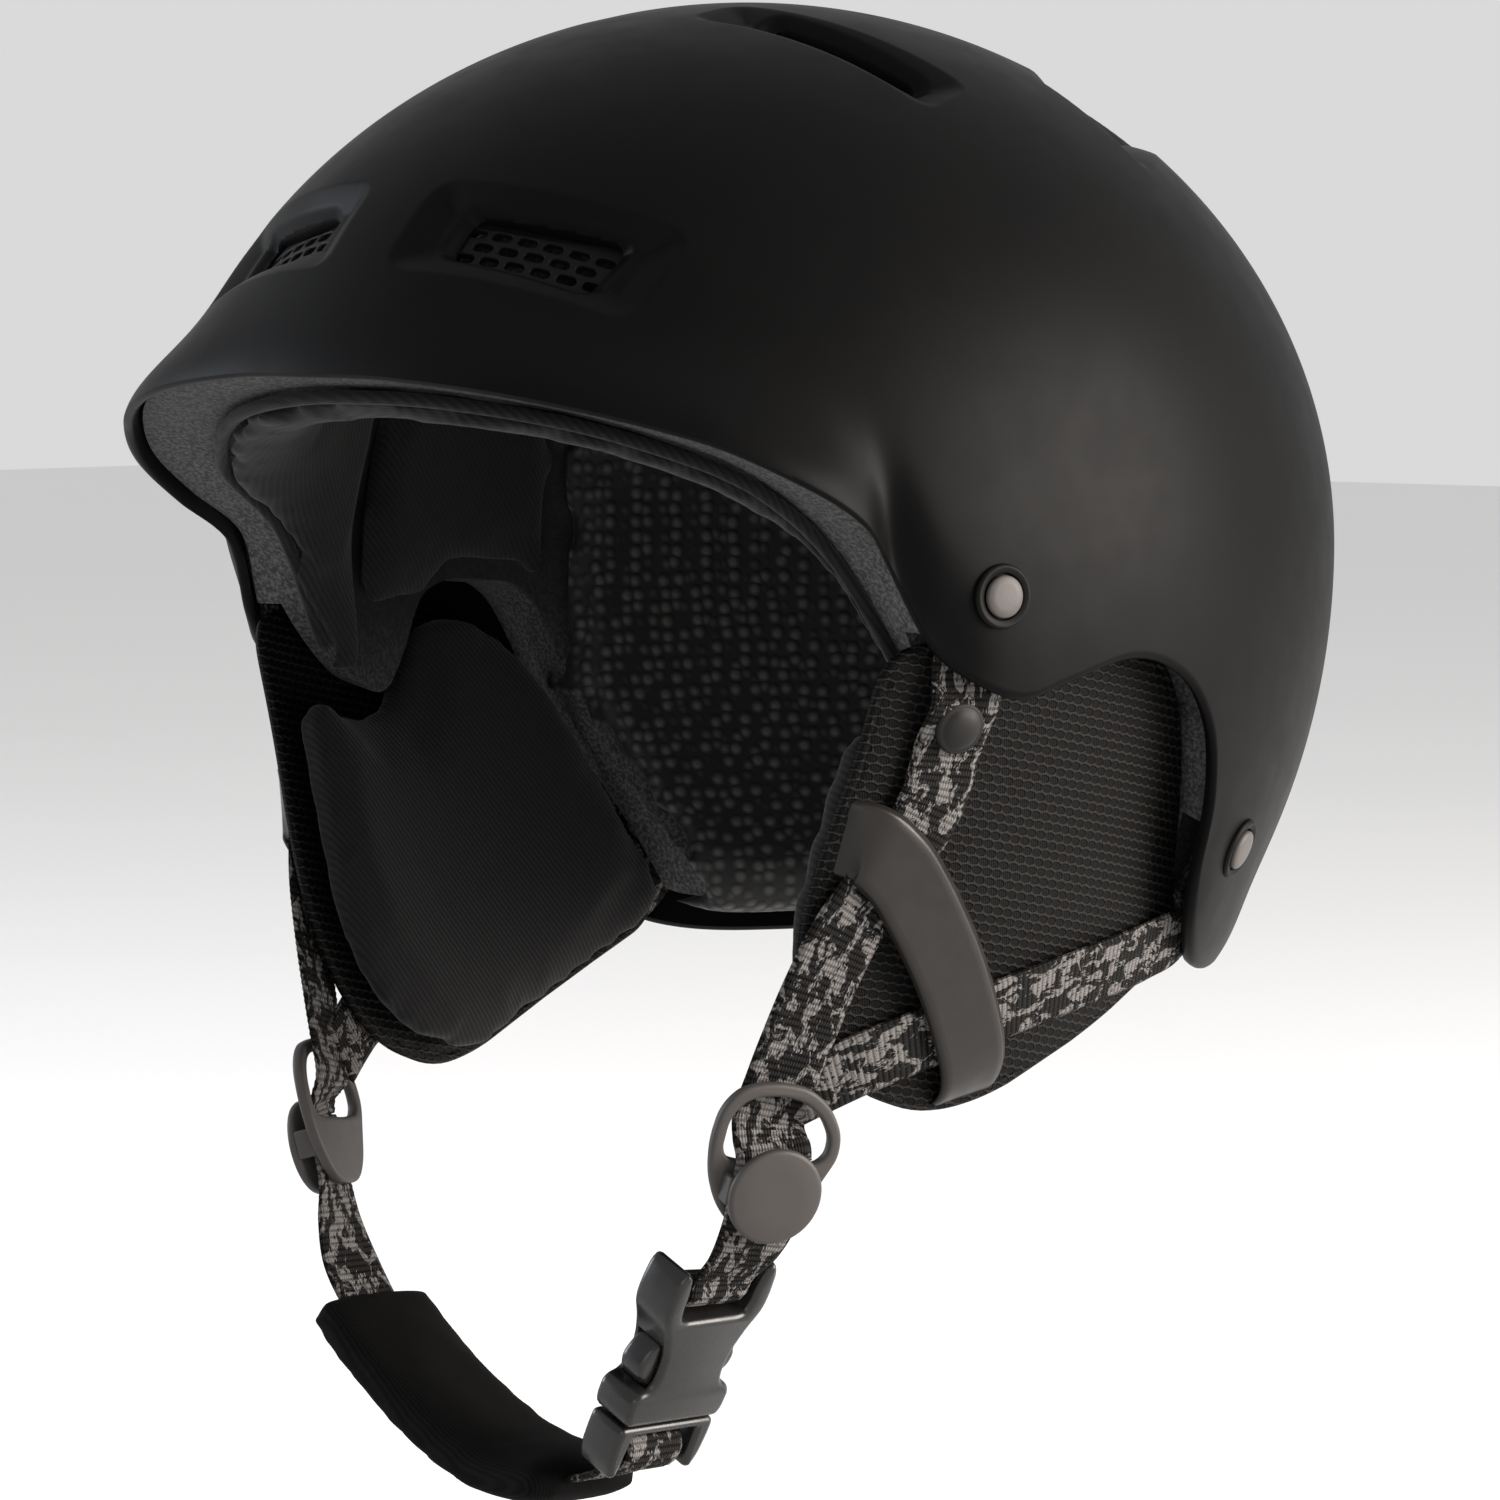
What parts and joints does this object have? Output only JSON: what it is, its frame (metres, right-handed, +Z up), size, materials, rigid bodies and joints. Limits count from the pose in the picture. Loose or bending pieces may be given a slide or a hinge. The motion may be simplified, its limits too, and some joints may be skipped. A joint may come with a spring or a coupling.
{
  "type": "ski helmet",
  "caption": "Hard-shell ski helmet with foam liner, vent grilles, comfort padding, swinging ear pads, strap dividers, padded chin strap with a side-release buckle, and a rear goggle clip.",
  "frame": {"origin": "centre of the wearer's head, in the middle plane of the helmet", "axes": "+Z up towards the crown, -Y forwards to the brow, +X to the wearer's left"},
  "size_m": [0.2158, 0.2704, 0.2989],
  "materials": {
    "shell_black": "soft-touch matt",
    "foam_grey": "fine beaded foam, matt",
    "lining_black": "brushed jersey",
    "spacer_mesh": "three-dimensional mesh",
    "grille_black": "moulded, matt",
    "rivet_grey": "moulded, matt",
    "washer_black": "moulded, matt",
    "webbing": "woven webbing with a grey splash pattern",
    "band_brown": "satin",
    "snap_grey": "satin",
    "divider_grey": "moulded, matt",
    "buckle_black": "satin",
    "chin_fabric": "knit-faced soft foam",
    "clip_rubber": "matt"
  },
  "bodies": {
    "helmet": {"outer_shell": "shell_black", "foam_liner": "foam_grey", "brow_pad": "lining_black", "crown_pad": "spacer_mesh", "side_pad_left": "spacer_mesh", "side_pad_right": "spacer_mesh", "rear_pad": "spacer_mesh", "front_grille_left": "grille_black", "front_grille_right": "grille_black", "top_grille_left": "grille_black", "top_grille_right": "grille_black", "rear_grille_left": "grille_black", "rear_grille_right": "grille_black", "strap_rivets": "rivet_grey", "rivet_washers": "washer_black", "front_strap_left": "webbing", "front_strap_right": "webbing", "rear_strap_left": "webbing", "rear_strap_right": "webbing", "clip_base": "grille_black", "clip_stud": "grille_black"},
    "ear_pad_left": {"pad_mesh_left": "spacer_mesh", "pad_foam_left": "foam_grey", "pad_lining_left": "lining_black", "pad_band_left": "band_brown", "pad_snap_left": "snap_grey"},
    "ear_pad_right": {"pad_mesh_right": "spacer_mesh", "pad_foam_right": "foam_grey", "pad_lining_right": "lining_black", "pad_band_right": "band_brown", "pad_snap_right": "snap_grey"},
    "slider_left": {"divider_left": "divider_grey", "divider_cap_left": "divider_grey"},
    "slider_right": {"divider_right": "divider_grey", "divider_cap_right": "divider_grey"},
    "strap_left": {"lower_strap_left": "webbing", "buckle_socket": "buckle_black"},
    "chin": {"chin_strap": "webbing", "buckle_plug": "buckle_black"},
    "prong_front": {"prong_front": "buckle_black"},
    "prong_rear": {"prong_rear": "buckle_black"},
    "chin_pad": {"chin_pad": "chin_fabric"},
    "goggle_tab": {"clip_tab": "clip_rubber"}
  },
  "joints": [
    {"name": "ear_pad_left_swing", "type": "hinge", "parent": "helmet", "child": "ear_pad_left", "pos_m": [0.093, 0, 0.022], "axis": [0, -1, 0], "range_deg": [-5, 3.5], "stiffness_Nm_per_rad": 1.5, "deforming": ["front_strap_left", "rear_strap_left"]},
    {"name": "ear_pad_right_swing", "type": "hinge", "parent": "helmet", "child": "ear_pad_right", "pos_m": [-0.093, 0, 0.022], "axis": [0, 1, 0], "range_deg": [-5, 3.5], "stiffness_Nm_per_rad": 1.5, "deforming": ["front_strap_right", "rear_strap_right"]},
    {"name": "divider_left_slide", "type": "slide", "parent": "helmet", "child": "slider_left", "axis": [0.2957, 0, 0.9553], "range_m": [-0.003, 0.006]},
    {"name": "divider_right_slide", "type": "slide", "parent": "helmet", "child": "slider_right", "axis": [-0.2957, 0, 0.9553], "range_m": [-0.003, 0.006]},
    {"name": "chin_swing", "type": "hinge", "parent": "helmet", "child": "strap_left", "pos_m": [0, -0.0615, -0.076], "axis": [1, 0, 0], "range_deg": [-25, 25], "deforming": ["lower_strap_left"]},
    {"name": "buckle_release", "type": "hinge", "parent": "strap_left", "child": "chin", "pos_m": [-0.0627, -0.0615, -0.076], "axis": [0, 1, 0], "range_deg": [0, 60], "deforming": ["chin_strap"]},
    {"name": "prong_front_squeeze", "type": "hinge", "parent": "chin", "child": "prong_front", "pos_m": [0.031, -0.07, -0.127], "axis": [-0.8829, 0, 0.4695], "range_deg": [0, 6], "stiffness_Nm_per_rad": 0.02},
    {"name": "prong_rear_squeeze", "type": "hinge", "parent": "chin", "child": "prong_rear", "pos_m": [0.031, -0.053, -0.127], "axis": [0.8829, 0, -0.4695], "range_deg": [0, 6], "stiffness_Nm_per_rad": 0.02},
    {"name": "chin_pad_slide", "type": "slide", "parent": "chin", "child": "chin_pad", "axis": [-0.8725, 0, 0.4886], "range_m": [-0.002, 0.006]},
    {"name": "goggle_tab_hinge", "type": "hinge", "parent": "helmet", "child": "goggle_tab", "pos_m": [0, 0.1392, 0.024], "axis": [1, 0, 0], "range_deg": [0, 110]}
  ],
  "couplings": [
    {"joint": "prong_rear_squeeze", "follows": "prong_front_squeeze", "ratio": 1}
  ]
}
